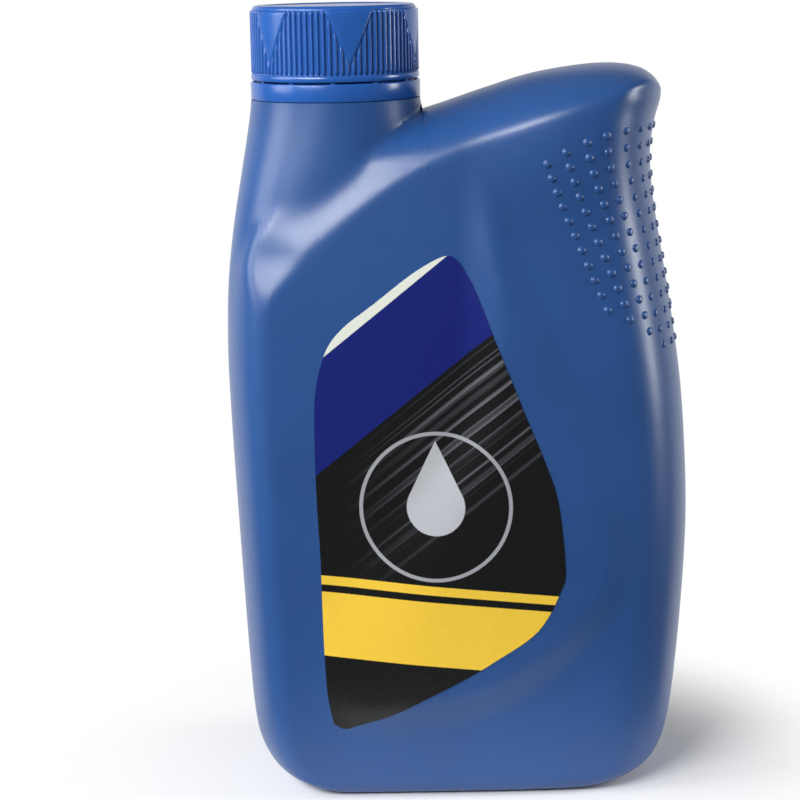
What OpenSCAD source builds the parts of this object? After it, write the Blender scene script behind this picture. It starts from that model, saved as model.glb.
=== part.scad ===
/* [Body] */
// Width of the body across its widest stretch
body_w = 126.4; // [122:0.2:132]
// Depth of the body over the proud grip
body_d = 60; // [56:0.5:66]
// Height from the base to the root of the neck finish
body_h = 190.2; // [184:0.2:196]
// Wall thickness of the blown body
wall = 1.1; // [0.8:0.1:1.6]
// How far the label panel lies below the grip
panel_drop = 2.2; // [1:0.1:3]
// Width of the slope between the label panel and the grip
panel_slope = 10; // [7:0.5:13]
// Width of the bevel between the side and the edge line of the face
bevel_w = 10; // [8:0.5:12]
// Width of the round on the grip side
grip_round = 19.5; // [16:0.5:22]
// Radius between the walls and the base
base_round = 6; // [4:0.5:8]
// Rise of the hollow under the base
push_up = 2.5; // [1:0.1:4]

/* [Neck] */
// Place of the neck axis, from the middle of the body
neck_x = -32; // [-33.4:0.1:-31]
// Diameter of the neck root, flush with the tamper ring
neck_d = 45.6; // [45.2:0.1:46.6]
// Diameter of the neck finish under its bead
finish_d = 38; // [37:0.1:38.6]
// Height of the neck finish above its root
finish_h = 22.3; // [21.6:0.1:23.6]
// Diameter of the bore that the oil is poured through
bore_d = 32.4; // [30.4:0.1:33.8]
// Diameter of the bead that holds the tamper ring down
bead_d = 41.2; // [40.4:0.1:41.6]

/* [Closure] */
// Diameter of the cap over its ribs
cap_d = 45.1; // [44.5:0.1:45.7]
// Thickness of the cap's top
cap_top = 1.7; // [1.3:0.1:2.2]
// Number of grip ribs round the cap
rib_count = 90; // [72:6:102]
// How far a rib stands out
rib_h = 0.6; // [0.3:0.05:0.8]
// Diameter of the cap's bore
cap_bore_d = 40.8; // [40.4:0.1:41.4]
// Number of smooth pointers round the cap
pointer_count = 6; // [4:1:8]
// Width of a smooth pointer at its top
pointer_w = 14; // [10:0.5:16]
// Length of a smooth pointer down the cap
pointer_h = 15; // [11:0.5:16]
// Height of the tamper ring
ring_h = 4.7; // [4.2:0.1:5.2]
// Number of parted bridges on the tamper ring
bridge_count = 12; // [8:1:18]
// Thickness of the sealing liner
liner_t = 0.8; // [0.6:0.1:1.2]

/* [Label and contents] */
// Thickness of the label film
label_t = 0.15; // [0.1:0.05:0.3]
// Height of the oil's surface above the base
oil_level = 171; // [150:1:180]

/* [Hidden] */

// Clearances between pieces
film_gap = 0.05;
ring_seat_gap = 0.1;
ring_gap = 0.4;
bead_gap = 0.3;
liner_gap = 0.4;

// Sizes that follow from the driving ones
hw = body_w / 2;
neck_r = neck_d / 2;
bore_r = bore_d / 2;
finish_r = finish_d / 2;
bead_r = bead_d / 2;
cap_r = cap_d / 2;
land = 0.15;
face_crown = 1.2;
top_taper = 2.6;
roof_t = 2.5;
mouth_cut = 0.5;
foot_band = 1.8;
crest = 1.06;
crease_blend = 1.4;
horn_lip = 4.4;
dish_round = 9;
rib_stop = 1.3;
rib_w = 1.1;
cap_edge = 1.2;
bridge_w = 1.3;
bridge_h = 0.25;
cap_angle = 11.9;
ring_z = body_h + ring_seat_gap;
cap_z = ring_z + ring_h + ring_gap;
seat_z = body_h + finish_h;
cap_bore_r = cap_bore_d / 2;
roof_z = seat_z + liner_t;
bead_z = ring_z + ring_h * 0.62;

// Outline of the face, as fractions of the half width and the height.
// The edge runs from the base up the left side, over the shoulder and the horn,
// and down the grip side to the base again.
edge_points = [
    [-0.618, 0], [-0.735, 0.007], [-0.835, 0.024], [-0.895, 0.05], [-0.928, 0.09],
    [-0.948, 0.18], [-0.966, 0.31], [-0.983, 0.44], [-0.995, 0.55], [-1, 0.64],
    [-0.988, 0.73], [-0.95, 0.8], [-0.85, 0.862], [-0.63, 0.918], [-0.37, 0.96],
    [-0.096, 0.986], [0.128, 1.01], [0.353, 1.031], [0.624, 1.042], [0.8, 1.034],
    [0.876, 1.005], [0.85, 0.963], [0.833, 0.917], [0.848, 0.853], [0.888, 0.773],
    [0.935, 0.677], [0.975, 0.576], [0.998, 0.453], [1, 0.36], [0.98, 0.24],
    [0.95, 0.133], [0.92, 0.07], [0.88, 0.035], [0.82, 0.015], [0.73, 0.004], [0.594, 0]];
// Middle of the slope that parts the label panel from the grip
slope_points = [
    [0.06, 0.92], [0.13, 0.87], [0.185, 0.8], [0.265, 0.731], [0.385, 0.629], [0.51, 0.539], [0.6, 0.475],
    [0.655, 0.411], [0.67, 0.352], [0.642, 0.304], [0.57, 0.267], [0.441, 0.221],
    [0.297, 0.184], [0.136, 0.152], [-0.16, 0.125], [-0.45, 0.12], [-0.6, 0.17], [-0.64, 0.35],
    [-0.62, 0.6], [-0.5, 0.72], [-0.25, 0.82], [-0.05, 0.9], [0.06, 0.92]];
// Outline of the label, the same way round
label_points = [
    [-0.565, 0.116], [-0.59, 0.165], [-0.6, 0.25], [-0.605, 0.36], [-0.615, 0.45],
    [-0.618, 0.53], [-0.61, 0.6], [-0.565, 0.658], [-0.49, 0.692], [-0.36, 0.725],
    [-0.19, 0.768], [-0.065, 0.79], [-0.01, 0.785], [0.03, 0.765], [0.075, 0.734],
    [0.145, 0.672], [0.21, 0.618], [0.28, 0.558], [0.35, 0.5], [0.405, 0.443],
    [0.435, 0.35], [0.42, 0.315], [0.32, 0.254], [0.135, 0.21], [-0.012, 0.181],
    [-0.17, 0.154], [-0.32, 0.129], [-0.46, 0.113], [-0.52, 0.108]];
// How the neck root widens below the finish
neck_flare = 8.1;
neck_flare_h = 63;
neck_belly = 1.2;
neck_belly_h = 34;
neck_square = 1;
neck_square_h = 45;
neck_steps = [0, 0.06, 0.16, 0.29, 0.43, 0.57, 0.73, 0.92];
// Rings of the faces in from the edge, as fractions of the bevel's width
outer_steps = [0, 0.06, 0.22, 0.48, 0.8, 1, 1.35];
inner_steps = [0, 0.1, 0.35, 0.75, 1.1];
// Rings between those and the slope, as shares of the way
outer_shares = [0.25, 0.5, 0.75];
inner_shares = [0.5];
// Which of the edge's points is the tip of the horn
horn_tip = 20;

function size_up(points) = [for (p = points) [p[0] * hw, p[1] * body_h]];
function ease(t) = let (c = max(0, min(1, t))) c * c * (3 - 2 * c);

// Smooth curve through points, with a number of steps on each span
function spline(a, b, c, d, t) =
    0.5 * (2 * b + (c - a) * t + (2 * a - 5 * b + 4 * c - d) * t * t
    + (3 * b - a - 3 * c + d) * t * t * t);
function smooth_path(points, steps) =
    let (last = len(points) - 1)
    [for (i = [0:last - 1], k = [0:steps - 1])
        spline(points[max(i - 1, 0)], points[i], points[i + 1], points[min(i + 2, last)], k / steps),
        points[last]];

// Signed distance from a path, positive on its right-hand side
function span_gap(p, a, b) =
    let (ab = b - a, t = max(0, min(1, ((p - a) * ab) / (ab * ab))), q = p - a - ab * t)
    [norm(q), cross(q, ab)];
function path_gap(p, path) =
    let (gaps = [for (i = [0:len(path) - 2]) span_gap(p, path[i], path[i + 1])],
         near = min([for (g = gaps) g[0]]),
         side = [for (g = gaps) if (g[0] < near + 0.0001) g[1]])
    near * sign(max(side) + min(side));

edge = smooth_path(size_up(edge_points), 3);
slope = smooth_path(size_up(slope_points), 2);
// Sides of the edge beside the base, as tables from height to place
side_top = 0.18 * body_h;
left_side = [for (p = edge) if (p[0] < 0 && p[1] < side_top * 1.5) [p[1], p[0]]];
right_side = [for (i = [len(edge) - 1:-1:0]) if (edge[i][0] > 0 && edge[i][1] < side_top * 1.5)
    [edge[i][1], edge[i][0]]];
// Distance from the edge, level with the base where the corners turn under
function edge_gap(p) =
    p[1] > side_top ? path_gap(p, edge)
    : min(p[0] - lookup(p[1], left_side), lookup(p[1], right_side) - p[0]);

// Distance from the grip side alone, which runs from the tip of the horn down to the base
grip_edge = [for (i = [horn_tip * 3:len(edge) - 1]) edge[i]];
function grip_gap(p) =
    p[1] > side_top ? min([for (i = [0:len(grip_edge) - 2]) span_gap(p, grip_edge[i], grip_edge[i + 1])[0]])
    : lookup(p[1], right_side) - p[0];

// Share of the grip's height: 0 on the label panel and 1 on the grip
function grip_share(p) =
    let (rise = ease((p[1] / body_h - 0.2) / 0.4))
    ease(path_gap(p, slope) / panel_slope + 0.5)
    * (1 - ease((p[1] / body_h - 0.78) / 0.16))
    * ease((p[0] / hw + 0.75 - 0.75 * rise) / (0.6 - 0.4 * rise));
// Half depth of the face before its edges are rounded, swelling again under the horn
function face_depth(p) =
    body_d / 2 - panel_drop * (1 - grip_share(p)) - face_crown * pow(p[0] / hw, 2)
    - top_taper * ease((p[1] / body_h - 0.68) / 0.4)
    + horn_lip * ease((p[0] / hw - 0.1) / 0.35) * ease((p[1] / body_h - 0.8) / 0.17);
// Width of the bevel, wider over the shoulder and narrower on the horn
function bevel_width(p) =
    let (shoulder = exp(-pow(norm([p[0] / hw + 0.6, (p[1] / body_h - 0.88) * 3]) / 0.45, 2)),
         horn = ease((p[0] / hw - 0.2) / 0.6))
    bevel_w * (1.5 + 0.8 * shoulder - 0.5 * horn);
// Half depth of an elliptical round, some way in from its edge
function round_depth(gap, width, high) =
    let (turn = 1 - max(0, min(gap / width, 1))) high * sqrt(1 - turn * turn);
function blend_min(a, b, k) = min(a, b) - pow(max(k - abs(a - b), 0), 2) / (4 * k);
function base_cut(z) =
    z < base_round ? base_round - sqrt(pow(base_round, 2) - pow(base_round - max(z, 0), 2)) : 0;
// Half depth of the slab at a point of the face, for a skin set in by some thickness.
// The bevel follows the whole edge, the grip's round its own side, and they meet in a
// crease that leaves the tip of the horn.
function slab_depth(p, inset) =
    let (full = face_depth(p),
         side = grip_gap(p) - inset,
         bevel = round_depth(edge_gap(p) - inset, bevel_width(p) - inset, full * crest - inset),
         grip = round_depth(side, grip_round - inset, full - inset) + 0.1 * max(side - grip_round, 0),
         face = blend_min(full - inset, bevel, crease_blend))
    max(land, blend_min(face, grip, crease_blend) - base_cut(p[1] - inset));

// Rings of points on one face, from the edge inwards to its middle. The first rings keep
// their distance from the edge, the next ones follow the slope round the label panel.
centre = [0, 0.46 * body_h];
function edge_normal(path, i) =
    let (last = len(path) - 1, t = path[min(i + 1, last)] - path[max(i - 1, 0)])
    [t[1], -t[0]] / norm(t);
function step_in(p, n, gap) =
    let (d = (centre - p) / norm(centre - p)) p + d * gap / max(d * n, 0.6);
// How far out from the centre a ray crosses the middle of the slope
function slope_reach(d) =
    max([for (i = [0:len(slope) - 2])
        let (a = slope[i] - centre, b = slope[i + 1] - centre, u = cross(d, a), v = cross(d, b))
        (u * v <= 0 && u != v) ? (a + (b - a) * u / (u - v)) * d : 0]);
function slab_rim(inset, steps) =
    let (path = smooth_path(size_up(edge_points), steps),
         last = len(path) - 1,
         base = 8,
         middle = (path[last][0] + path[0][0]) / 2,
         half = (path[last][0] - path[0][0]) / 2)
    concat(
        [for (i = [0:last])
            let (n = (i == 0 || i == last) ? [0, 1] : edge_normal(path, i), q = path[i] + n * inset)
            [[q[0], max(q[1], inset)], n]],
        [for (i = [1:base - 1]) [[middle + half * cos(180 * i / base), inset], [0, 1]]]);
function slab_rings(inset, steps, gaps, way_shares, slope_shares, core_share) =
    let (rim = slab_rim(inset, steps),
         inner = [for (r = rim) step_in(r[0], r[1], gaps[len(gaps) - 1])],
         rays = [for (p = inner) (p - centre) / norm(p - centre)],
         reach = [for (d = rays) slope_reach(d)])
    concat(
        [for (g = gaps) [for (r = rim) step_in(r[0], r[1], g)]],
        [for (s = way_shares) [for (i = [0:len(rim) - 1])
            inner[i] * (1 - s) + (centre + rays[i] * (reach[i] + slope_shares[0] * panel_slope)) * s]],
        [for (s = slope_shares) [for (i = [0:len(rim) - 1]) centre + rays[i] * (reach[i] + s * panel_slope)]],
        [[for (i = [0:len(rim) - 1]) centre + rays[i] * reach[i] * core_share]]);

// Solid between two faces that are given by rings of points and a depth
function flat(lists) = [for (l = lists, v = l) v];
module slab(inset, steps, gaps, way_shares, slope_shares, core_share) {
    rings = slab_rings(inset, steps, gaps, way_shares, slope_shares, core_share);
    count = len(rings[0]);
    last = len(rings);
    front = concat(flat([for (r = rings) [for (p = r) [p[0], -slab_depth(p, inset), p[1]]]]),
        [[centre[0], -slab_depth(centre, inset), centre[1]]]);
    back = [for (p = front) [p[0], -p[1], p[2]]];
    size = len(front);
    sides = [for (k = [0:last - 2], i = [0:count - 1])
        let (j = (i + 1) % count)
        [k * count + i, k * count + j, (k + 1) * count + j, (k + 1) * count + i]];
    fronts = concat(
        flat([for (f = sides) [[f[0], f[1], f[2]], [f[0], f[2], f[3]]]]),
        [for (i = [0:count - 1]) [(last - 1) * count + i, (last - 1) * count + (i + 1) % count, size - 1]]);
    backs = [for (f = fronts) [size + f[0], size + f[2], size + f[1]]];
    rims = flat([for (i = [0:count - 1])
        let (j = (i + 1) % count)
        [[i, size + j, j], [i, size + i, size + j]]]);
    polyhedron(concat(front, back), concat(fronts, backs, rims), convexity = 6);
}

// Oval sections of the neck root, from its top down into the slab
function flare(drop) = neck_flare * pow(sin(90 * min(drop / neck_flare_h, 1)), 1.25);
function belly(drop) = neck_belly * sin(90 * min(drop / neck_belly_h, 1));
module neck_root(inset, top, sides) {
    drops = [for (s = neck_steps) s * neck_flare_h];
    rows = [for (d = drops)
        let (drop = max(d, top), a = neck_r + flare(drop) - inset, b = neck_r + belly(drop) - inset,
             power = 2 / (2 + neck_square * ease(drop / neck_square_h)))
        [for (i = [0:sides - 1])
            let (c = cos(360 * i / sides), s = sin(360 * i / sides))
            [neck_x + a * sign(c) * pow(abs(c), power), b * sign(s) * pow(abs(s), power), body_h - drop]]];
    used = [for (i = [0:len(drops) - 1]) if (i == 0 || drops[i] > top) rows[i]];
    count = len(used);
    walls = flat([for (k = [0:count - 2], i = [0:sides - 1])
        let (j = (i + 1) % sides)
        [[k * sides + i, k * sides + j, (k + 1) * sides + j],
         [k * sides + i, (k + 1) * sides + j, (k + 1) * sides + i]]]);
    polyhedron(flat(used), concat(walls,
        [[for (i = [sides - 1:-1:0]) i]],
        [[for (i = [0:sides - 1]) (count - 1) * sides + i]]), convexity = 4);
}

module body_slab() {
    slab(0, 2, outer_steps * bevel_w, outer_shares, [0.5, 0.2, -0.2, -0.5], 0.45);
}
module outer_form() {
    body_slab();
    neck_root(0, roof_t, 48);
}
// Hollow under the base, grown by the wall for the floor above it
module base_dish(grow) {
    translate([0, 0, -1])
        linear_extrude(height = push_up + grow + 1, scale = 0.86)
            offset(r = dish_round + grow)
                square([hw * 0.78, body_d * 0.3], center = true);
}
// Inside of the blown body, open at the top where the neck finish starts
module cavity() {
    difference() {
        union() {
            slab(wall, 1, inner_steps * bevel_w, inner_shares, [0.5, 0, -0.5], 0.4);
            neck_root(wall, roof_t - mouth_cut, 36);
        }
        base_dish(wall);
    }
}

// Bottle: the blown body up to the foot of its neck finish
module bottle() {
    color([0.16, 0.33, 0.62])
        resize([0, 0, 0]) difference() {
            outer_form();
            cavity();
            base_dish(0);
        }
}

// Neck finish: a turned sleeve on a flange, with the bead that keeps the tamper ring down
module neck_finish() {
    color([0.16, 0.33, 0.62])
        translate([neck_x, 0, 0])
            rotate_extrude($fn = 96)
                polygon([
                    [bore_r, body_h - roof_t], [neck_r + belly(roof_t), body_h - roof_t],
                    [neck_r, body_h], [finish_r, body_h], [finish_r, bead_z], [bead_r, bead_z + 0.2],
                    [bead_r, bead_z + 0.7], [finish_r, bead_z + 1.6], [finish_r, seat_z - 0.8],
                    [finish_r - 0.8, seat_z], [bore_r, seat_z]]);
}

// Oil: the charge, up to a level surface in the shoulder
module oil() {
    color([0.85, 0.6, 0.15])
        resize([0, 0, 0]) intersection() {
            cavity();
            translate([-hw, -body_d / 2, 0])
                cube([body_w, body_d, oil_level]);
        }
}

// Tamper ring: a band whose lip hooks under the bead, with the stubs of its parted bridges
module tamper_ring() {
    color([0.13, 0.32, 0.68])
        translate([neck_x, 0, 0]) {
            rotate_extrude($fn = 96)
                polygon([
                    [finish_r + bead_gap, ring_z], [neck_r - 0.3, ring_z], [neck_r, ring_z + 0.3],
                    [neck_r, ring_z + ring_h - 0.3], [neck_r - 0.3, ring_z + ring_h],
                    [bead_r + bead_gap, ring_z + ring_h], [bead_r + bead_gap, bead_z - bead_gap + 0.2],
                    [finish_r + bead_gap, bead_z - bead_gap]]);
            for (i = [0:bridge_count - 1])
                rotate(360 * i / bridge_count)
                    translate([bead_r + bead_gap + 0.2, -bridge_w / 2, ring_z + ring_h - 0.2])
                        cube([0.8, bridge_w, bridge_h + 0.2]);
        }
}

// Cap: a ribbed shell with smooth pointers, open below
module cap() {
    root_r = cap_r - rib_h;
    top_z = roof_z + cap_top;
    color([0.13, 0.32, 0.68])
        resize([0, 0, 0]) translate([neck_x, 0, 0]) {
            rotate_extrude($fn = rib_count)
                polygon(concat(
                    [[cap_bore_r, cap_z], [cap_r - 0.3, cap_z], [cap_r, cap_z + 0.3],
                     [cap_r, cap_z + foot_band - 0.3], [root_r, cap_z + foot_band + 0.3]],
                    [for (a = [0:30:90])
                        [root_r - cap_edge * (1 - cos(a)), top_z - cap_edge * (1 - sin(a))]],
                    [[0, top_z], [0, roof_z], [cap_bore_r, roof_z]]));
            translate([0, 0, cap_z + foot_band])
                linear_extrude(height = top_z - rib_stop - cap_z - foot_band)
                    cap_ribs(root_r);
            intersection() {
                translate([0, 0, cap_z + foot_band - 0.2])
                    linear_extrude(height = top_z - rib_stop + 0.5 - cap_z - foot_band)
                        difference() {
                            circle(r = cap_r - 0.05, $fn = rib_count);
                            circle(r = root_r - 0.5, $fn = rib_count);
                        }
                pointers(top_z);
            }
        }
}
// Sections of the ribs, all round
module cap_ribs(root_r) {
    for (i = [0:rib_count - 1])
        rotate(360 * (i + 0.5) / rib_count)
            polygon([[root_r - 0.4, -rib_w / 2], [cap_r, -rib_w / 4],
                [cap_r, rib_w / 4], [root_r - 0.4, rib_w / 2]]);
}
// Wedges that cut the smooth pointers, one of them just right of the front
module pointers(top_z) {
    for (i = [0:pointer_count - 1])
        rotate(cap_angle - 90 + 360 * i / pointer_count)
            translate([cap_r * 0.7, 0, top_z])
                rotate([90, 0, 90])
                    linear_extrude(height = cap_r)
                        polygon([[-pointer_w / 2, 1], [0, -pointer_h], [pointer_w / 2, 1]]);
}

// Liner: the sealing wad pressed against the cap's top
module cap_liner() {
    color([0.92, 0.92, 0.9])
        translate([neck_x, 0, seat_z])
            cylinder(r = cap_bore_r - liner_gap, h = liner_t, $fn = 96);
}

// Label: a thin film that follows the panel under it
module label() {
    color([0.12, 0.12, 0.4])
        resize([0, 0, 0]) intersection() {
            difference() {
                translate([0, -film_gap - label_t, 0])
                    body_slab();
                translate([0, -film_gap, 0])
                    body_slab();
            }
            rotate([90, 0, 0])
                linear_extrude(height = body_d)
                    polygon(smooth_path(size_up(label_points), 2));
        }
}

bottle();
neck_finish();
oil();
tamper_ring();
cap();
cap_liner();
label();
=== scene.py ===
import math

import bpy
import numpy as np
from bpy.props import FloatProperty, FloatVectorProperty, IntProperty, PointerProperty
from mathutils import Matrix, Vector


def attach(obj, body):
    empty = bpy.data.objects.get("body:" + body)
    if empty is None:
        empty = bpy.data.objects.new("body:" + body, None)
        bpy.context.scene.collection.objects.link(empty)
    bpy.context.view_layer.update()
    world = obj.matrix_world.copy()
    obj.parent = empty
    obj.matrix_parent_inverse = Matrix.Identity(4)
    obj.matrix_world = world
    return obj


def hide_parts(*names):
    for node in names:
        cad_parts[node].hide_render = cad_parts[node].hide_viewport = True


bl_info = {
    "name": "Fork oil bottle",
    "version": (1, 0, 0),
    "blender": (4, 5, 0),
    "location": "3D View > Sidebar > Bottle",
    "description": "Dresses the packed bottle with its shell, grip dots, closure, label and stage",
    "category": "Object",
}

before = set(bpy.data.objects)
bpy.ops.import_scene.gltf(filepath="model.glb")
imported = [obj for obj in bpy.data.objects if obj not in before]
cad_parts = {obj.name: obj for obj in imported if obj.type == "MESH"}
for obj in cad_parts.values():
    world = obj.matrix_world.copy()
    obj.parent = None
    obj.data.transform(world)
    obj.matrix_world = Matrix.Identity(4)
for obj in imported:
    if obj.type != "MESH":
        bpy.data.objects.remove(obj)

MM = 0.001

# Sizes in millimetres: the part's own, and the ramp's beside the neck, which only this script has
BODY_W, BODY_D, BODY_H, WALL = 126.4, 60.0, 190.2, 1.1
PANEL_DROP, PANEL_SLOPE, BEVEL_W, GRIP_ROUND, BASE_ROUND, PUSH_UP = 2.2, 10.0, 10.0, 19.5, 6.0, 2.5
NECK_X, NECK_R, FINISH_R, FINISH_H, BORE_R, BEAD_R = -32.0, 22.8, 19.0, 22.3, 16.2, 20.6
CAP_R, CAP_TOP, RIB_H, CAP_BORE_R, RING_H, LINER_T = 22.55, 1.7, 0.6, 20.4, 4.7, 0.8
HALF_W = BODY_W / 2
FACE_CROWN, TOP_TAPER, ROOF_T = 1.2, 2.6, 2.5
CREST, CREASE_BLEND, HORN_LIP, HORN_TIP = 1.06, 1.4, 4.4, 20
RAMP_W, RAMP_RISE, GRIP_RISE = 8.5, 0.32, 0.1
NECK_END = 58.0
RING_Z = BODY_H + 0.1
CAP_Z = RING_Z + RING_H + 0.4
SEAT_Z = BODY_H + FINISH_H
ROOF_Z = SEAT_Z + LINER_T
TOP_Z = ROOF_Z + CAP_TOP
BEAD_Z = RING_Z + RING_H * 0.62
NECK_FLARE, NECK_FLARE_H, NECK_BELLY, NECK_BELLY_H = 8.1, 63.0, 1.2, 34.0
THREAD_PITCH, BRIDGES = 4.0, 12
# Width of the band of close rings along the edge, and rows across the base
EDGE_BAND, BASE_ROWS = 16, 24
# Point of the face from which the rings of the skin are drawn
CENTRE = np.array([0.0, 0.46 * BODY_H])

# Level of the dim surroundings, against 1 for the white backdrop
AMBIENT = 0.16
# Name, place, aim, width, height in metres, and watts of each lamp
LAMPS = (
    ("left_softbox", (-0.75, -0.2, 0.5), (0, 0, 0.14), 0.45, 0.7, 5.8),
    ("key_softbox", (-0.48, -0.66, 0.55), (-0.03, -0.02, 0.16), 0.5, 0.28, 9.4),
    ("right_strip", (0.8, -0.05, 0.28), (0, 0, 0.15), 0.16, 0.5, 4.4))
CAMERA_PLACE = (-0.0161, -0.588, 0.2302)
CAMERA_DOWN, CAMERA_ROLL = 11.89, -1.0
LENS, SENSOR_W = 97.28, 36
FLOOR_SIZE = 6.0
# Distances from the middle, in millimetres, between which the floor fades away
FLOOR_NEAR, FLOOR_FAR = 62, 125

# Shares of the half width and the height: the body's edge from the base round the left, the top
# and the grip side, then the middle of the slope round the label panel, then the label's own edge
EDGE_POINTS = [
    (-0.618, 0), (-0.735, 0.007), (-0.835, 0.024), (-0.895, 0.05), (-0.928, 0.09),
    (-0.948, 0.18), (-0.966, 0.31), (-0.983, 0.44), (-0.995, 0.55), (-1, 0.64),
    (-0.988, 0.73), (-0.95, 0.8), (-0.85, 0.862), (-0.63, 0.918), (-0.37, 0.96),
    (-0.096, 0.986), (0.128, 1.01), (0.353, 1.031), (0.624, 1.042), (0.8, 1.034),
    (0.876, 1.005), (0.85, 0.963), (0.833, 0.917), (0.848, 0.853), (0.888, 0.773),
    (0.935, 0.677), (0.975, 0.576), (0.998, 0.453), (1, 0.36), (0.98, 0.24),
    (0.95, 0.133), (0.92, 0.07), (0.88, 0.035), (0.82, 0.015), (0.73, 0.004), (0.594, 0)]
SLOPE_POINTS = [
    (0.06, 0.92), (0.13, 0.87), (0.185, 0.8), (0.265, 0.731), (0.385, 0.629), (0.51, 0.539),
    (0.6, 0.475), (0.655, 0.411), (0.67, 0.352), (0.642, 0.304), (0.57, 0.267), (0.441, 0.221),
    (0.297, 0.184), (0.136, 0.152), (-0.16, 0.125), (-0.45, 0.12), (-0.6, 0.17), (-0.64, 0.35),
    (-0.62, 0.6), (-0.5, 0.72), (-0.25, 0.82), (-0.05, 0.9), (0.06, 0.92)]
LABEL_POINTS = [
    (-0.565, 0.116), (-0.59, 0.165), (-0.6, 0.25), (-0.605, 0.36), (-0.615, 0.45),
    (-0.618, 0.53), (-0.61, 0.6), (-0.565, 0.658), (-0.49, 0.692), (-0.36, 0.725),
    (-0.19, 0.768), (-0.065, 0.79), (-0.01, 0.785), (0.03, 0.765), (0.075, 0.734),
    (0.145, 0.672), (0.21, 0.618), (0.28, 0.558), (0.35, 0.5), (0.405, 0.443),
    (0.435, 0.35), (0.42, 0.315), (0.32, 0.254), (0.135, 0.21), (-0.012, 0.181),
    (-0.17, 0.154), (-0.32, 0.129), (-0.46, 0.113), (-0.52, 0.108)]


# Form of the body


def ease(t):
    """Smooth rise from 0 to 1 while t goes from 0 to 1."""
    c = np.clip(t, 0, 1)
    return c * c * (3 - 2 * c)


def smooth_path(points, steps):
    """Smooth curve through points given as shares of the half width and the height."""
    p = np.array(points, float) * [HALF_W, BODY_H]
    last = len(p) - 1
    out = []
    for i in range(last):
        a, b, c, d = p[max(i - 1, 0)], p[i], p[i + 1], p[min(i + 2, last)]
        for k in range(steps):
            t = k / steps
            out.append(0.5 * (2 * b + (c - a) * t + (2 * a - 5 * b + 4 * c - d) * t * t
                              + (3 * b - a - 3 * c + d) * t ** 3))
    out.append(p[last])
    return np.array(out)


def path_gap(points, path, chunk=3000):
    """Signed distance of points from a path, positive on its right-hand side."""
    a, b = path[:-1], path[1:]
    ab = b - a
    length2 = (ab * ab).sum(1)
    out = np.empty(len(points))
    for s in range(0, len(points), chunk):
        p = points[s:s + chunk]
        ap = p[:, None, :] - a[None]
        t = np.clip((ap * ab[None]).sum(2) / length2, 0, 1)
        q = ap - ab[None] * t[..., None]
        dist = np.hypot(q[..., 0], q[..., 1])
        cross = q[..., 0] * ab[None, :, 1] - q[..., 1] * ab[None, :, 0]
        near = dist.min(1)
        close = dist < near[:, None] + 1e-4
        high = np.where(close, cross, -1e9).max(1)
        low = np.where(close, cross, 1e9).min(1)
        out[s:s + chunk] = near * np.sign(high + low)
    return out


EDGE = smooth_path(EDGE_POINTS, 8)
SLOPE = smooth_path(SLOPE_POINTS, 6)
SIDE_TOP = 0.18 * BODY_H
GRIP_EDGE = EDGE[HORN_TIP * 8:]
LEFT = EDGE[(EDGE[:, 0] < 0) & (EDGE[:, 1] < SIDE_TOP * 1.5)]
RIGHT = EDGE[(EDGE[:, 0] > 0) & (EDGE[:, 1] < SIDE_TOP * 1.5)][::-1]


def edge_gap(p):
    """Distance from the edge, measured level near the base where the corners turn under."""
    level = np.minimum(p[:, 0] - np.interp(p[:, 1], LEFT[:, 1], LEFT[:, 0]),
                       np.interp(p[:, 1], RIGHT[:, 1], RIGHT[:, 0]) - p[:, 0])
    out = level.copy()
    up = p[:, 1] > SIDE_TOP
    out[up] = path_gap(p[up], EDGE)
    return out


def grip_gap(p):
    """Distance from the grip side alone, which runs from the tip of the horn down to the base."""
    out = np.interp(p[:, 1], RIGHT[:, 1], RIGHT[:, 0]) - p[:, 0]
    up = p[:, 1] > SIDE_TOP
    out[up] = np.abs(path_gap(p[up], GRIP_EDGE))
    return out


def grip_share(p):
    """Share of the grip's height: 0 on the label panel and 1 on the grip."""
    x, z = p[:, 0] / HALF_W, p[:, 1] / BODY_H
    rise = ease((z - 0.2) / 0.4)
    return (ease(path_gap(p, SLOPE) / PANEL_SLOPE + 0.5) * (1 - ease((z - 0.78) / 0.16))
            * ease((x + 0.75 - 0.75 * rise) / (0.6 - 0.4 * rise)))


def face_depth(p):
    """Half depth of the face away from its edges, with panel, crown, taper and horn."""
    x, z = p[:, 0] / HALF_W, p[:, 1] / BODY_H
    return (BODY_D / 2 - PANEL_DROP * (1 - grip_share(p)) - FACE_CROWN * x ** 2
            - TOP_TAPER * ease((z - 0.68) / 0.4)
            + HORN_LIP * ease(x / 0.55) * ease((z - 0.8) / 0.17))


def shoulder_share(p):
    """1 over the shoulder and the ramp beside the neck, 0 elsewhere."""
    x, z = p[:, 0] / HALF_W, p[:, 1] / BODY_H
    return ease((z - 0.7) / 0.1) * (1 - ease((x + 0.62) / 0.75))


def bevel_width(p):
    """Width of the round along the edge, narrower at the shoulder and at the horn."""
    x = p[:, 0] / HALF_W
    return BEVEL_W * (1.5 - 0.2 * shoulder_share(p) - 0.5 * ease((x - 0.2) / 0.6))


def round_depth(gap, width, high):
    """Half depth of an elliptical round, some way in from its edge."""
    turn = 1 - np.clip(gap / width, 0, 1)
    return high * np.sqrt(1 - turn * turn)


def blend_min(a, b, k):
    """The lesser of two heights, rounded over where they cross."""
    return np.minimum(a, b) - np.maximum(k - np.abs(a - b), 0) ** 2 / (4 * k)


def blend_max(a, b, k):
    """The greater of two heights, filleted where they cross."""
    return np.maximum(a, b) + np.maximum(k - np.abs(a - b), 0) ** 2 / (4 * k)


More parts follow.
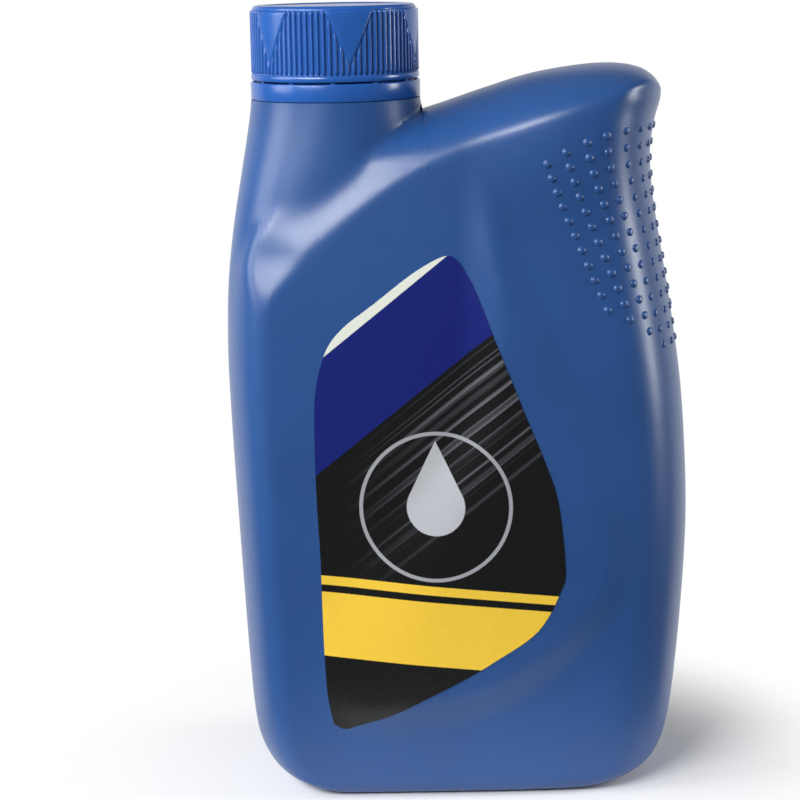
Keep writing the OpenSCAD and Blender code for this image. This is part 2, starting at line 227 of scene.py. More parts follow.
def base_cut(z):
    """How much the round at the base takes off the half depth at a height."""
    rise = np.clip(BASE_ROUND - np.maximum(z, 0), 0, BASE_ROUND)
    return BASE_ROUND - np.sqrt(BASE_ROUND ** 2 - rise ** 2)


def slab_depth(p, inset):
    """Half depth of the slab at points of the face, for a skin set in by some thickness."""
    full, gap, side = face_depth(p), edge_gap(p) - inset, grip_gap(p) - inset
    ramp = full - inset + RAMP_RISE * (gap - BEVEL_W - RAMP_W * shoulder_share(p))
    bevel = round_depth(gap, bevel_width(p) - inset, full * CREST - inset)
    grip = round_depth(side, GRIP_ROUND - inset, full - inset)
    grip = grip + GRIP_RISE * np.maximum(side - GRIP_ROUND, 0)
    face = blend_min(full - inset, ramp, 0.3)
    face = blend_min(blend_min(face, bevel, CREASE_BLEND), grip, CREASE_BLEND)
    return np.maximum(face - base_cut(p[:, 1] - inset), 0)


def neck_half(drop):
    """Half width, half depth and squareness of the neck root, some way below its top."""
    d = np.clip(drop, 0, NECK_FLARE_H)
    a = NECK_R + NECK_FLARE * np.sin(np.pi / 2 * d / NECK_FLARE_H) ** 1.25
    b = NECK_R + NECK_BELLY * np.sin(np.pi / 2 * np.minimum(d / NECK_BELLY_H, 1))
    return a, b, 2 + ease(d / 45)


def neck_depth(p, inset):
    """Half depth of the neck root, which sinks below the slab past its end."""
    drop = BODY_H - p[:, 1]
    a, b, power = neck_half(drop)
    u = np.minimum(np.abs(p[:, 0] - NECK_X) / (a - inset), 1)
    return (b - inset) * (1 - u ** power) ** (1 / power) - 0.6 * np.maximum(drop - NECK_END, 0)


def body_depth(p, inset, fillet=1.0):
    """Half depth of the body: the slab and the neck root, melted into each other."""
    slab, neck = slab_depth(p, inset), np.maximum(neck_depth(p, inset), 0)
    k = fillet * ease(np.minimum(slab, neck) / 9) + 0.01
    return np.where(neck > 0, blend_max(slab, neck, k), slab)


def ray_reach(directions, polygon):
    """Furthest crossing of rays from the centre with a closed outline."""
    a = polygon - CENTRE
    b = np.roll(a, -1, axis=0)
    u = directions[:, None, 0] * a[None, :, 1] - directions[:, None, 1] * a[None, :, 0]
    v = directions[:, None, 0] * b[None, :, 1] - directions[:, None, 1] * b[None, :, 0]
    hit = (u * v <= 0) & (u != v)
    t = np.where(hit, u / np.where(u == v, 1, u - v), 0)
    q = a[None] + (b - a)[None] * t[..., None]
    return np.where(hit, (q * directions[:, None, :]).sum(2), 0).max(1)


def body_outline(inset, spacing, top):
    """Outline of the body seen from the front, from the centre's right, anticlockwise."""
    n = np.gradient(EDGE, axis=0)
    n = np.stack([n[:, 1], -n[:, 0]], 1) / np.linalg.norm(n, axis=1)[:, None]
    slab = EDGE + n * inset
    slab[:, 1] = np.maximum(slab[:, 1], inset)
    z = np.linspace(top, BODY_H - NECK_END + 1, 80)
    a = neck_half(BODY_H - z)[0] - inset
    neck = np.concatenate([np.stack([NECK_X + a, z], 1), np.stack([NECK_X - a, z], 1)[::-1]])
    corners = np.array([[NECK_X - a[0], top], [NECK_X + a[0], top],
                        [slab[0, 0], inset], [slab[-1, 0], inset]])
    angle = np.linspace(0, 2 * np.pi, 5001)[:-1]

    def reach(angles):
        d = np.stack([np.cos(angles), np.sin(angles)], 1)
        return d, np.maximum(ray_reach(d, slab), ray_reach(d, neck))

    d, r = reach(angle)
    p = CENTRE + d * r[:, None]
    step = np.linalg.norm(np.roll(p, -1, axis=0) - p, axis=1)
    run = np.concatenate([[0], np.cumsum(step)])
    count = int(run[-1] / spacing)
    picked = np.interp(np.arange(count) * run[-1] / count, run, np.append(angle, 2 * np.pi))
    exact = np.arctan2(corners[:, 1] - CENTRE[1], corners[:, 0] - CENTRE[0]) % (2 * np.pi)
    for e in exact:
        picked[np.abs(picked - e).argmin()] = e
    picked = np.sort(picked)
    d, r = reach(picked)
    return CENTRE + d * (r[:, None] - 1e-4)


# Meshes


def grid_faces(rows, cols, closed, start=0):
    """Quads of a grid of vertices, row by row, wrapped round if closed."""
    i, j = np.meshgrid(np.arange(rows - 1), np.arange(cols if closed else cols - 1), indexing="ij")
    k = (j + 1) % cols
    return (np.stack([i * cols + j, i * cols + k, (i + 1) * cols + k, (i + 1) * cols + j], -1)
            .reshape(-1, 4) + start)


class Builder:
    """Collects vertices in millimetres and faces, and makes one object of them."""

    def __init__(self):
        self.verts, self.faces, self.count = [], [], 0

    def add(self, verts, faces):
        start = self.count
        self.verts.append(np.asarray(verts, float).reshape(-1, 3))
        self.faces.extend((np.asarray(faces) + start).tolist())
        self.count += len(self.verts[-1])
        return start

    def lathe(self, profile, segments, inward=False):
        """Turned surface about the neck axis from (radius, height) points."""
        p = np.array(profile, float)
        t = np.arange(segments) * 2 * np.pi / segments
        v = np.stack([NECK_X + p[:, None, 0] * np.cos(t), p[:, None, 0] * np.sin(t),
                      np.broadcast_to(p[:, None, 1], (len(p), segments))], -1)
        f = grid_faces(len(p), segments, True)
        self.add(v, f[:, ::-1] if inward else f)

    def make(self, name, material, slot, body, *replaced):
        mesh = bpy.data.meshes.new(name)
        mesh.from_pydata((np.concatenate(self.verts) * MM).tolist(), [], self.faces)
        mesh.validate()
        mesh.shade_smooth()
        mesh.materials.append(material)
        obj = bpy.data.objects.new(name, mesh)
        bpy.context.scene.collection.objects.link(obj)
        if replaced:
            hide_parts(*replaced)
        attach(obj, body)
        return obj


def circle_row(radius, height, angles):
    """One row of points about the neck axis."""
    return np.stack([NECK_X + radius * np.cos(angles), radius * np.sin(angles),
                     np.full(len(angles), height)], 1)


def face_normal(p, h=0.08):
    """Outward normals of the front face at points of it."""
    dx = (body_depth(p + [h, 0], 0.0) - body_depth(p - [h, 0], 0.0)) / (2 * h)
    dz = (body_depth(p + [0, h], 0.0) - body_depth(p - [0, h], 0.0)) / (2 * h)
    n = np.stack([-dx, -np.ones(len(p)), -dz], 1)
    return n / np.linalg.norm(n, axis=1)[:, None]


def skin(builder, inset, spacing, edge_steps, inner_steps, top, inward=False):
    """Front and back faces of the body, joined along their outline."""
    rim = body_outline(inset, spacing, top)
    count = len(rim)
    ray = CENTRE - rim
    length = np.linalg.norm(ray, axis=1)
    ray = ray / length[:, None]
    first = EDGE_BAND * (1 - np.cos(np.linspace(0, np.pi / 2, edge_steps)))
    share = (np.arange(1, inner_steps) / inner_steps) ** 1.2
    rings = [rim + ray * s for s in first]
    rings += [rim + ray * (EDGE_BAND + (length - EDGE_BAND) * s)[:, None] for s in share]
    flat = np.concatenate(rings + [CENTRE[None]])
    depth = body_depth(flat, inset)
    front = np.stack([flat[:, 0], -depth, flat[:, 1]], 1)
    back = front * [1, -1, 1]
    rows = len(rings)
    quads = grid_faces(rows, count, True)
    fan = np.array([[(rows - 1) * count + i, (rows - 1) * count + (i + 1) % count, rows * count]
                    for i in range(count)])
    start = builder.add(front, np.empty((0, 4), int))
    second = builder.add(back, np.empty((0, 4), int))
    turn = -1 if inward else 1
    for offset, way in ((start, turn), (second, -turn)):
        builder.faces.extend((quads[:, ::way] + offset).tolist())
        builder.faces.extend((fan[:, ::way] + offset).tolist())
    base = []
    for i in range(count):
        j = (i + 1) % count
        if min(rim[i, 1], rim[j, 1]) > top - 0.01:
            continue
        if max(rim[i, 1], rim[j, 1]) < inset + 0.02:
            base.append(i)
            continue
        strip = [start + i, second + i, second + j, start + j]
        builder.faces.append(strip[::turn])
    # The base between the two faces, with its shallow hollow
    run = base + [(base[-1] + 1) % count]
    row = []
    for i in run:
        d = depth[i]
        y = np.linspace(-d, d, BASE_ROWS + 1)
        x = np.full(BASE_ROWS + 1, rim[i, 0])
        row.append(np.stack([x, y, inset + dish_rise(x, y, inset)], 1))
    faces = grid_faces(len(run), BASE_ROWS + 1, False)
    builder.add(np.array(row), faces[:, ::turn])


def dish_rise(x, y, inset):
    """Rise of the hollow under the base, a rounded rectangle with sloping sides."""
    grow = 9 + inset
    half = np.array([HALF_W * 0.39, BODY_D * 0.15])
    q = np.stack([np.abs(x) - half[0], np.abs(y) - half[1]], -1)
    out = np.linalg.norm(np.maximum(q, 0), axis=-1) + np.minimum(q.max(-1), 0) - grow
    return PUSH_UP * ease(-out / 4.5)


# Materials


class Value:
    """A number that varies over a surface or a sky: expressions on it become Math nodes."""

    def __init__(self, nodes, socket):
        self.nodes, self.socket = nodes, socket

    def math(self, operation, *others):
        """A Math node on this value and others."""
        return self.nodes.node("ShaderNodeMath", {"operation": operation}, [self, *others])

    def __add__(self, o):
        return self.math("ADD", o)

    def __radd__(self, o):
        return self.math("ADD", o)

    def __sub__(self, o):
        return self.math("SUBTRACT", o)

    def __rsub__(self, o):
        return self.nodes.node("ShaderNodeMath", {"operation": "SUBTRACT"}, [o, self])

    def __mul__(self, o):
        return self.math("MULTIPLY", o)

    def __rmul__(self, o):
        return self.math("MULTIPLY", o)

    def __pow__(self, o):
        return self.math("POWER", o)

    def abs(self):
        return self.math("ABSOLUTE")

    def least(self, o):
        return self.math("MINIMUM", o)

    def most(self, o):
        return self.math("MAXIMUM", o)

    def step(self, low, high):
        """0 below low and 1 above high, with a smooth rise between."""
        return self.nodes.node("ShaderNodeMapRange",
                               {"interpolation_type": "SMOOTHSTEP", "clamp": True},
                               {"Value": self, "From Min": low, "From Max": high})


class Nodes:
    """A node tree, with one method that adds any node to it."""

    def __init__(self, tree):
        self.tree = tree

    def put(self, socket, value):
        """Links a value to a socket, or sets the socket to a constant."""
        if isinstance(value, Value):
            self.tree.links.new(value.socket, socket)
        elif isinstance(value, (tuple, list)) and socket.type == "RGBA":
            socket.default_value = (*value[:3], 1)
        elif value is not None:
            socket.default_value = value

    def node(self, kind, settings=None, inputs=None, output=0):
        """Adds a node of a type, with its settings first and then the values or links of its sockets."""
        node = self.tree.nodes.new(kind)
        for key, value in (settings or {}).items():
            setattr(node, key, value)
        pairs = inputs.items() if isinstance(inputs, dict) else enumerate(inputs or [])
        for key, value in pairs:
            self.put(node.inputs[key], value)
        return Value(self, node.outputs[output])

    def axes(self, vector):
        """The x, y and z of a vector."""
        return [self.node("ShaderNodeSeparateXYZ", None, [vector], axis) for axis in "XYZ"]


class Paint(Nodes):
    """A Principled material with helpers that add its nodes."""

    def __init__(self, name, **constants):
        self.material = bpy.data.materials.new(name)
        self.material.use_nodes = True
        super().__init__(self.material.node_tree)
        self.shader = self.tree.nodes["Principled BSDF"]
        self.output = self.tree.nodes["Material Output"]
        for key, value in constants.items():
            socket = key.replace("_", " ").title().replace("Ior", "IOR")
            self.shader.inputs[socket].default_value = value

    def place(self):
        """The surface's place in millimetres, in the object's own frame, and its x, y and z."""
        where = self.node("ShaderNodeTexCoord", output="Object")
        scaled = self.node("ShaderNodeVectorMath", {"operation": "SCALE"}, {0: where, "Scale": 1000.0})
        return scaled, self.axes(scaled)

    def noise(self, where, scale, detail=2.0, rough=0.5):
        """Soft random pattern, with so many lumps to a millimetre."""
        return self.node("ShaderNodeTexNoise", None,
                         {"Vector": where, "Scale": scale, "Detail": detail, "Roughness": rough})

    def mix(self, factor, a, b):
        return self.node("ShaderNodeMix", {"data_type": "RGBA"},
                         {0: factor, 6: a, 7: b}, output=2)

    def bump(self, height, strength, distance):
        return self.node("ShaderNodeBump", None,
                         {"Strength": strength, "Distance": distance, "Height": height})

    def set(self, **inputs):
        """Feeds the Principled node and gives back the finished material."""
        for key, value in inputs.items():
            self.put(self.shader.inputs[key.replace("_", " ").title()], value)
        return self.material


def linear(r, g, b):
    """Screen colour, 0 to 255, as a linear one."""
    c = np.array([r, g, b]) / 255
    return tuple(np.where(c <= 0.04045, c / 12.92, ((c + 0.055) / 1.055) ** 2.4).tolist())


def shell_plastic(colour):
    """Satin blown plastic with a faint cloudiness, fine orange peel and scuffs."""
    p = Paint("blown_plastic", specular_ior_level=0.5)
    where, _ = p.place()
    cloud = p.noise(where, 0.025, 3.0)
    fine = p.noise(where, 1.6, 2.0)
    scuff = p.noise(where, 0.35, 4.0, 0.65).step(0.58, 0.72)
    darker = tuple(c * 0.9 for c in colour)
    tone = p.mix(cloud.step(0.35, 0.65), darker, tuple(colour))
    height = fine * 0.6 + p.noise(where, 0.18, 2.0) * 1.2
    return p.set(base_color=tone, roughness=0.31 + 0.05 * cloud + 0.06 * scuff,
                 normal=p.bump(height, 0.12, 0.00012))


def cap_plastic(colour):
    """Glossy moulded plastic with a faint flow pattern."""
    p = Paint("moulded_plastic", specular_ior_level=0.5)
    where, _ = p.place()
    cloud = p.noise(where, 0.12, 3.0)
    tone = p.mix(cloud.step(0.3, 0.7), tuple(c * 0.92 for c in colour), tuple(colour))
    return p.set(base_color=tone, roughness=0.2 + 0.08 * cloud,
                 normal=p.bump(p.noise(where, 2.2, 2.0), 0.08, 0.0001))


def liner_foam():
    """Pale foam with fine cells."""
    p = Paint("liner_foam")
    where, _ = p.place()
    cells = p.noise(where, 2.5, 3.0)
    tone = p.mix(cells, (0.72, 0.72, 0.68), (0.86, 0.86, 0.83))
    return p.set(base_color=tone, roughness=0.62 + 0.1 * cells, normal=p.bump(cells, 0.3, 0.0002))


def oil_liquid():
    """Amber oil with slow changes of depth."""
    p = Paint("oil_liquid", ior=1.47, coat_weight=0.3)
    where, _ = p.place()
    cloud = p.noise(where, 0.02, 2.0)
    tone = p.mix(cloud, (0.55, 0.22, 0.02), (0.72, 0.34, 0.04))
    return p.set(base_color=tone, roughness=0.05 + 0.02 * cloud)


def label_print():
    """Printed film: slanting fields of colour with streaks, a drop in a ring and two bands."""
    p = Paint("label_print", specular_ior_level=0.45)
    where, (x, _, z) = p.place()
    grain = p.noise(where, 0.9, 3.0)

    def above(height, start):
        """1 where a height is past its start, with a crisp edge."""
        return (height - start).step(-0.12, 0.12)

    black, navy, yellow = linear(12, 13, 14), linear(14, 27, 104), linear(224, 186, 60)
    pale, ring_grey, drop_grey = linear(212, 216, 206), linear(150, 152, 158), linear(172, 174, 180)
    navy_start, pale_start, slope = 123, 153, 0.8
    slant = z - slope * x
    # Dark field with soft grey streaks that run with the slanting field above it
    streak = p.node("ShaderNodeTexNoise", {"noise_dimensions": "1D"},
                    {"W": slant, "Scale": 0.34, "Detail": 3.0, "Roughness": 0.6})
    grey = streak.step(0.5, 0.75) * slant.step(76, 90) * x.step(-34, 6) * 0.8
    tone = p.mix(grey, black, linear(112, 114, 122))
    tone = p.mix(above(slant, navy_start), tone, navy)
    tone = p.mix(above(slant, pale_start), tone, pale)
    # Drop, a circle with a cone that touches it, in a thin ring
    dx, dz = x + 7, z - 83
    radius = (dx * dx + dz * dz) ** 0.5
    drop_r, tip, ring_r, ring_half = 7.8, 18.0, 20, 0.5
    lean = drop_r / tip
    cone = (dx.abs() * math.sqrt(1 - lean * lean) + (dz - tip) * lean).most(drop_r * lean - dz)
    drop = (radius - drop_r).least(cone)
    tone = p.mix(1 - above((radius - ring_r).abs(), ring_half), tone, ring_grey)
    tone = p.mix(1 - above(drop, 0), tone, drop_grey)
    # Yellow bands, one broad and one thin
    rise = z + 0.1 * x
    for low, high in ((38, 56), (58, 60.5)):
        tone = p.mix(above(rise, low) * (1 - above(rise, high)), tone, yellow)
    return p.set(base_color=tone, roughness=0.24 + 0.06 * grain, normal=p.bump(grain, 0.05, 0.0001))


# Settings that a user would change


class BottleSettings(bpy.types.PropertyGroup):
    shell_colour: FloatVectorProperty(
        name="Shell colour", description="Colour of the blown body", subtype="COLOR",
        size=3, min=0, max=1, default=linear(35, 74, 131))
    closure_colour: FloatVectorProperty(
        name="Closure colour", description="Colour of the cap and the tamper ring", subtype="COLOR",
        size=3, min=0, max=1, default=linear(31, 82, 157))
    dot_radius: FloatProperty(
        name="Dot radius", description="Radius of a grip dot in millimetres", default=0.95, min=0.6, max=1.6)
    dot_height: FloatProperty(
        name="Dot height", description="Height of a grip dot in millimetres", default=0.55, min=0.2, max=1.0)
    dot_pitch: FloatProperty(
        name="Dot pitch", description="Distance between the rows of grip dots in millimetres",
        default=4.45, min=3.8, max=4.8)
    rib_count: IntProperty(
        name="Cap ribs", description="Number of grip ribs round the cap", default=90, min=60, max=120)
    pointer_angle: FloatProperty(
        name="Pointer angle", description="Turn of the smooth pointers round the cap",
        subtype="ANGLE", default=math.radians(11.9 - 90))


# Pieces


class BOTTLE_OT_shell(bpy.types.Operator):
    """Make the blown body with its neck finish and thread"""
    bl_idname = "bottle.shell"
    bl_label = "Shell"

    def execute(self, context):
        s = context.scene.bottle_settings
        b = Builder()
        skin(b, 0.0, 1.35, 16, 48, BODY_H)
        skin(b, WALL, 5.0, 7, 14, BODY_H - ROOF_T, inward=True)
        # Flange, bead, sleeve and bore of the finish
        b.lathe([(NECK_R, BODY_H), (FINISH_R + 0.6, BODY_H), (FINISH_R + 0.1, BODY_H + 0.3),
                 (FINISH_R, BODY_H + 0.9), (FINISH_R, BEAD_Z - 0.1), (BEAD_R - 0.15, BEAD_Z + 0.05),
                 (BEAD_R, BEAD_Z + 0.25), (BEAD_R - 0.05, BEAD_Z + 0.7), (FINISH_R + 0.15, BEAD_Z + 1.5),
                 (FINISH_R, BEAD_Z + 1.8), (FINISH_R, SEAT_Z - 1), (FINISH_R - 0.15, SEAT_Z - 0.5),
                 (FINISH_R - 0.6, SEAT_Z - 0.08), (FINISH_R - 1, SEAT_Z), (BORE_R + 0.3, SEAT_Z),
                 (BORE_R, SEAT_Z - 0.3), (BORE_R, BODY_H - ROOF_T + 0.3), (BORE_R + 0.5, BODY_H - ROOF_T),
                 (NECK_R - WALL, BODY_H - ROOF_T)], 128)
        thread(b, FINISH_R, 1, SEAT_Z - 4.2, 1.75, 0.95)
        b.make("bottle_shell", shell_plastic(s.shell_colour), "bottle_plastic", "bottle",
               "bottle", "neck_finish")
        return {"FINISHED"}


def thread(builder, radius, way, top, turns, height):
    """A rounded helical ridge that fades in and out, outside (way 1) or inside (way -1)."""
    steps = int(turns * 96)
    section = np.array([(-1.1, -0.25), (-0.85, 0.25), (-0.45, 0.85), (0, 1), (0.45, 0.85),
                        (0.85, 0.25), (1.1, -0.25)])
    t = np.arange(steps + 1) / steps
    angle = -2 * np.pi * turns * t
    grow = ease(t / 0.06) * ease((1 - t) / 0.06)
    z = top - THREAD_PITCH * turns * t
    r = radius + way * height * section[None, :, 1] * grow[:, None] - way * 0.05
    v = np.stack([NECK_X + r * np.cos(angle)[:, None], r * np.sin(angle)[:, None],
                  z[:, None] + section[None, :, 0]], -1)
    f = grid_faces(steps + 1, len(section), False)
    builder.add(v, f if way > 0 else f[:, ::-1])


# Start of each column, measured round the side from the edge, and its number of dots
DOT_COLUMNS = ((46.8, 11), (42.1, 12), (37.0, 13), (32.1, 14), (25.9, 14), (19.4, 14), (12.9, 12), (6.4, 6))

# Height of the first row, lean of the columns, how the rows sag towards the label, and the half
# depth of the grip's round on which they are measured
DOT_TOP, DOT_LEAN, DOT_SAG, DOT_SAG_START, GRIP_HALF = 182, 0.234, 0.0155, 24, 27


def dot_places(pitch):
    """Places of the grip dots on the front face: columns round the side that lean as they go down."""
    angle = np.linspace(0, np.pi / 2, 400)
    side = np.stack([GRIP_ROUND * (1 - np.cos(angle)), GRIP_HALF * np.sin(angle)], 1)
    arc = np.concatenate([[0], np.cumsum(np.linalg.norm(np.diff(side, axis=0), axis=1))])
    places = []
    for start, rows in DOT_COLUMNS:
        for row in range(rows):
            along = start - DOT_LEAN * pitch * row
            z = DOT_TOP - pitch * row - DOT_SAG * max(along - DOT_SAG_START, 0) ** 2
            gap = np.interp(along, arc, side[:, 0]) + max(along - arc[-1], 0)
            places.append((np.interp(z, *right_edge()) - gap, z))
    return np.array(places)


def right_edge():
    """Heights and places of the grip side, from the base up."""
    side = EDGE[(EDGE[:, 0] > 0.5 * HALF_W) & (EDGE[:, 1] < 0.995 * BODY_H)]
    order = np.argsort(side[:, 1])
    return side[order, 1], side[order, 0]


class BOTTLE_OT_dots(bpy.types.Operator):
    """Make the rows of grip dots on both faces"""
    bl_idname = "bottle.dots"
    bl_label = "Grip dots"

    def execute(self, context):
        s = context.scene.bottle_settings
        places = dot_places(s.dot_pitch)
        depth = body_depth(places, 0.0)
        normal = face_normal(places)
        r = np.array([1.3, 1.1, 1.0, 0.88, 0.67, 0.37, 0.0]) * s.dot_radius
        h = np.array([-0.06, 0.06, 0.36, 0.66, 0.88, 0.98, 1.0]) * s.dot_height
        segments = 20
        t = np.arange(segments) * 2 * np.pi / segments
        b = Builder()
        for side in (1, -1):
            for (x, z), d, n in zip(places, depth, normal):
                n = n * [1, side, 1]
                centre = np.array([x, -d * side, z])
                u = np.cross([0, 0, 1], n)
                u = u / np.linalg.norm(u)
                v = np.cross(n, u)
                ring = (np.cos(t)[:, None] * u + np.sin(t)[:, None] * v)
                rows = centre + r[:, None, None] * ring[None] + h[:, None, None] * n
                b.add(rows, grid_faces(len(r), segments, True))
        b.make("grip_dots", bpy.data.materials["blown_plastic"], "bottle_plastic", "bottle")
        return {"FINISHED"}


class BOTTLE_OT_closure(bpy.types.Operator):
    """Make the cap with its pointers and ribs, the tamper ring and the liner's finish"""
    bl_idname = "bottle.closure"
    bl_label = "Closure"

    def execute(self, context):
        s = context.scene.bottle_settings
        material = cap_plastic(s.closure_colour)
        b = Builder()
        around, root = s.rib_count * 14, CAP_R - RIB_H
        foot, stop = CAP_Z + 1.8, TOP_Z - 1.25
        heights = np.concatenate([
            [CAP_Z + 0.05, CAP_Z, CAP_Z + 0.1, CAP_Z + 0.35, CAP_Z + 0.9, foot - 0.3, foot - 0.12,
             foot + 0.02], np.linspace(foot + 0.25, stop - 0.5, 20),
            [stop - 0.3, stop - 0.15, stop, stop + 0.12]])
        body = np.concatenate([
            [CAP_R - 0.8, CAP_R - 0.3, CAP_R - 0.08, CAP_R + 0.05, CAP_R + 0.05, CAP_R + 0.03, CAP_R - 0.15,
             root + 0.05], np.full(20, root), np.full(4, root)])
        t = np.arange(around) * 2 * np.pi / around
        wave = np.cos(t * s.rib_count)
        rib = ease((wave + 0.35) / 1.1) ** 0.8
        turn = (t - s.pointer_angle) % (np.pi / 3)
        arc = np.minimum(turn, np.pi / 3 - turn) * CAP_R
        rows = []
        for z, r in zip(heights, body):
            fade = ease((z - foot + 0.1) / 0.3) * ease((stop + 0.1 - z) / 0.45)
            half = 7 * np.clip(1 - (TOP_Z - z) / 15, 0, 1)
            inside = ease((half - arc) / 0.45 + 0.5) * (half > 0)
            share = np.maximum(rib * (1 - ease((half - arc) / 0.45 + 1.2) * (half > 0)), inside)
            rr = np.maximum(r, root + (CAP_R - root) * share * fade)
            rows.append(circle_row(rr, z, t))
        # The edge and the top of the cap
        for a in np.radians([0, 12, 25, 40, 55, 70, 90]):
            rows.append(circle_row(root - 1.25 * (1 - math.cos(a)), stop + 0.05 + 1.2 * math.sin(a), t))
        for rr, z in ((root - 2.4, TOP_Z), (root - 3.0, TOP_Z - 0.12), (root - 3.4, TOP_Z - 0.3),
                      (12, TOP_Z - 0.32), (4, TOP_Z - 0.3), (0.01, TOP_Z - 0.3)):
            rows.append(circle_row(rr, z, t))
        b.add(np.array(rows), grid_faces(len(rows), around, True))
        b.lathe([(CAP_R - 0.8, CAP_Z + 0.05), (CAP_BORE_R + 0.3, CAP_Z + 0.05), (CAP_BORE_R, CAP_Z + 0.4),
                 (CAP_BORE_R, ROOF_Z - 0.4), (CAP_BORE_R - 0.4, ROOF_Z), (0.01, ROOF_Z)], 96, inward=True)
        thread(b, CAP_BORE_R, -1, SEAT_Z - 2.2, 1.5, 0.85)
        b.make("screw_cap", material, "cap_plastic", "cap", "cap")
        ring = Builder()
        ring.lathe([(FINISH_R + 0.3, RING_Z), (NECK_R - 0.3, RING_Z), (NECK_R - 0.08, RING_Z + 0.08),
                    (NECK_R, RING_Z + 0.3), (NECK_R, RING_Z + RING_H - 0.45),
                    (NECK_R - 0.1, RING_Z + RING_H - 0.12),
                    (NECK_R - 0.4, RING_Z + RING_H), (BEAD_R + 0.3, RING_Z + RING_H),
                    (BEAD_R + 0.3, BEAD_Z - 0.1), (FINISH_R + 0.3, BEAD_Z - 0.3),
                    (FINISH_R + 0.3, RING_Z)], 160)
        # Stubs of the bridges that joined the ring to the cap
        for i in range(BRIDGES):
            a = 2 * np.pi * i / BRIDGES
            box = np.array([(r, y, z) for r in (CAP_R - 1.4, CAP_R - 0.5) for y in (-0.65, 0.65)
                            for z in (RING_Z + RING_H - 0.1, RING_Z + RING_H + 0.25)])
            v = np.stack([NECK_X + box[:, 0] * np.cos(a) - box[:, 1] * np.sin(a),
                          box[:, 0] * np.sin(a) + box[:, 1] * np.cos(a), box[:, 2]], 1)
            ring.add(v, [[0, 1, 3, 2], [4, 6, 7, 5], [0, 4, 5, 1],
                         [2, 3, 7, 6], [1, 5, 7, 3], [0, 2, 6, 4]])
        ring.make("seal_ring", material, "cap_plastic", "bottle", "tamper_ring")
        paint_node("cap_liner", liner_foam())
        return {"FINISHED"}


def paint_node(name, material):
    """Gives a node of the frame a better material."""
    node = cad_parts[name]
    node.data.materials.clear()
    node.data.materials.append(material)


class BOTTLE_OT_label(bpy.types.Operator):
    """Make the printed label on the panel"""
    bl_idname = "bottle.label"
    bl_label = "Label"

    def execute(self, context):
        path = smooth_path(LABEL_POINTS + LABEL_POINTS[:1], 6)[:-1]
        middle = np.array([-0.1 * HALF_W, 0.45 * BODY_H])
        rings, film_h = 34, 0.2
        share = np.linspace(0, 1, rings)[:-1]
        flat = np.concatenate([path + (middle - path) * q for q in share] + [middle[None]])
        depth = body_depth(flat, 0.0) + film_h
        front = np.stack([flat[:, 0], -depth, flat[:, 1]], 1)
        count = len(path)
        b = Builder()
        b.add(front, grid_faces(rings - 1, count, True)[:, ::-1])
        last = (rings - 2) * count
        b.faces.extend([[last + (i + 1) % count, last + i, (rings - 1) * count] for i in range(count)])
        wall = np.concatenate([front[:count], front[:count] + [0, 0.17, 0]])
        b.add(wall, grid_faces(2, count, True))
        b.make("front_label", label_print(), "label_film", "bottle", "label")
        return {"FINISHED"}


class BOTTLE_OT_contents(bpy.types.Operator):
    """Give the oil inside its finish"""
    bl_idname = "bottle.contents"
    bl_label = "Oil"

    def execute(self, context):
        paint_node("oil", oil_liquid())
        return {"FINISHED"}


class BOTTLE_OT_stage(bpy.types.Operator):
    """Make the floor, the lights and the camera"""
    bl_idname = "bottle.stage"
    bl_label = "Stage"

    def execute(self, context):
        scene = context.scene
        scene.view_settings.view_transform = "Standard"
        scene.world = studio_world()
        add_floor(scene)
        add_lamps(scene)
        add_camera(scene)
        return {"FINISHED"}


def add_floor(scene):
    """Wide floor at the height of the base."""
    mesh = bpy.data.meshes.new("floor")
    corners = [(-1, -1), (1, -1), (1, 1), (-1, 1)]
    mesh.from_pydata([(x * FLOOR_SIZE, y * FLOOR_SIZE, 0) for x, y in corners], [], [(0, 1, 2, 3)])
    mesh.materials.append(bright_floor())
    floor = bpy.data.objects.new("floor", mesh)
    scene.collection.objects.link(floor)


def bright_floor():
    """Pale floor that fades into the white backdrop away from the object."""
    p = Paint("pale_floor", roughness=0.6, base_color=(0.86, 0.86, 0.87, 1))
    _, (x, y, _) = p.place()
    far = ((x * x + y * y) ** 0.5).step(FLOOR_NEAR, FLOOR_FAR)
    clear = p.node("ShaderNodeBsdfTransparent")
    shader = Value(p, p.shader.outputs[0])
    p.put(p.output.inputs["Surface"], p.node("ShaderNodeMixShader", None, [far, shader, clear]))
    return p.material


def studio_world():
    """Dim room with a white backdrop, seen by the camera, in gloss and through liquid."""
    world = bpy.data.worlds.new("studio")
    world.use_nodes = True
    n = Nodes(world.node_tree)
    back = n.tree.nodes["Background"]
    back.inputs["Color"].default_value = (1, 1, 1, 1)
    _, depth, height = n.axes(n.node("ShaderNodeTexCoord", output="Generated"))
    camera, glossy, through = (n.node("ShaderNodeLightPath", output=name) for name in
                               ("Is Camera Ray", "Is Glossy Ray", "Is Transmission Ray"))
    behind = depth.step(0.3, 0.6) * height.step(0.5, 0.2)
    white = camera.most(behind * glossy.most(through))
    n.put(back.inputs["Strength"], white * (1 - AMBIENT) + AMBIENT)
    return world


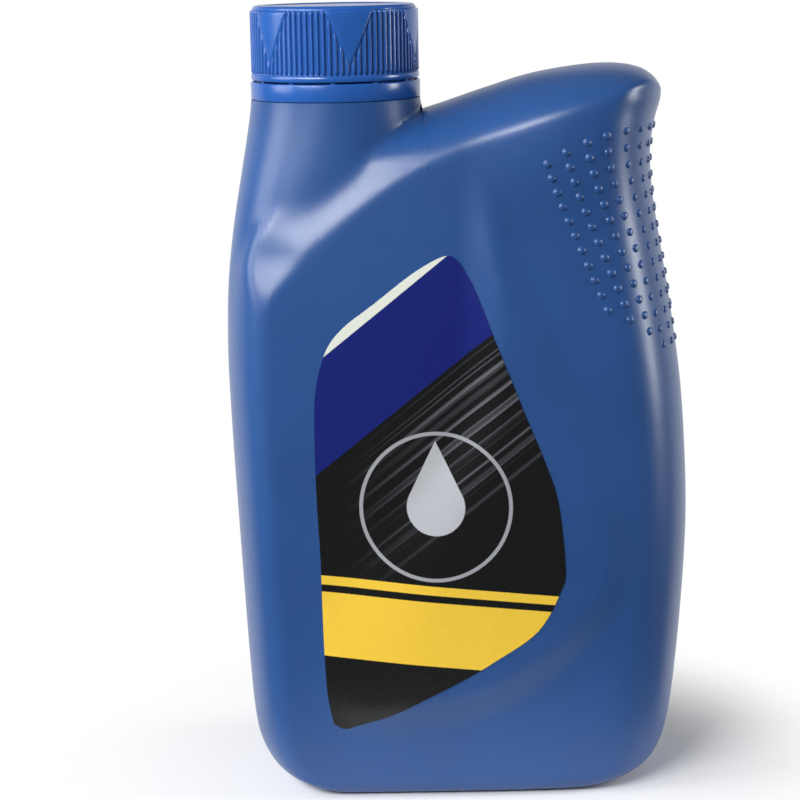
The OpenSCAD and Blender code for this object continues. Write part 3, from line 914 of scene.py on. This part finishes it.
def add_lamps(scene):
    """Soft lamps for the left side, the shoulder and the grip side."""
    for name, place, aim, width, height, power in LAMPS:
        lamp = bpy.data.lights.new(name, "AREA")
        lamp.shape, lamp.size, lamp.size_y, lamp.energy = "RECTANGLE", width, height, power
        obj = bpy.data.objects.new(name, lamp)
        obj.location = place
        obj.rotation_euler = (Vector(aim) - Vector(place)).to_track_quat("-Z", "Y").to_euler()
        scene.collection.objects.link(obj)


def add_camera(scene):
    """Camera at the photo's angle, a little above the bottle and looking down at it."""
    cam = bpy.data.cameras.new("camera")
    cam.sensor_width, cam.lens = SENSOR_W, LENS
    cam.clip_start, cam.clip_end = 0.05, 20
    obj = bpy.data.objects.new("camera", cam)
    tilt = Matrix.Rotation(math.radians(90 - CAMERA_DOWN), 4, "X")
    roll = Matrix.Rotation(math.radians(CAMERA_ROLL), 4, "Z")
    obj.matrix_world = Matrix.Translation(CAMERA_PLACE) @ tilt @ roll
    scene.collection.objects.link(obj)
    scene.camera = obj


# Panel and start


class BOTTLE_PT_panel(bpy.types.Panel):
    """Lists the pieces of the bottle"""
    bl_idname = "BOTTLE_PT_panel"
    bl_label = "Bottle"
    bl_space_type = "VIEW_3D"
    bl_region_type = "UI"
    bl_category = "Bottle"

    def draw(self, context):
        for name in BottleSettings.__annotations__:
            self.layout.prop(context.scene.bottle_settings, name)
        for operator in OPERATORS:
            self.layout.operator(operator.bl_idname)


OPERATORS = (BOTTLE_OT_shell, BOTTLE_OT_dots, BOTTLE_OT_closure, BOTTLE_OT_label,
             BOTTLE_OT_contents, BOTTLE_OT_stage)
CLASSES = (BottleSettings, *OPERATORS, BOTTLE_PT_panel)


def register():
    """Adds the add-on's classes and its settings."""
    for item in CLASSES:
        bpy.utils.register_class(item)
    bpy.types.Scene.bottle_settings = PointerProperty(type=BottleSettings)


def unregister():
    """Removes them again."""
    del bpy.types.Scene.bottle_settings
    for item in reversed(CLASSES):
        bpy.utils.unregister_class(item)


def main():
    """Builds everything."""
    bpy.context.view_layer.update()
    register()
    bpy.ops.bottle.shell()
    bpy.ops.bottle.dots()
    bpy.ops.bottle.closure()
    bpy.ops.bottle.label()
    bpy.ops.bottle.contents()
    bpy.ops.bottle.stage()


if __name__ == "__main__":
    main()
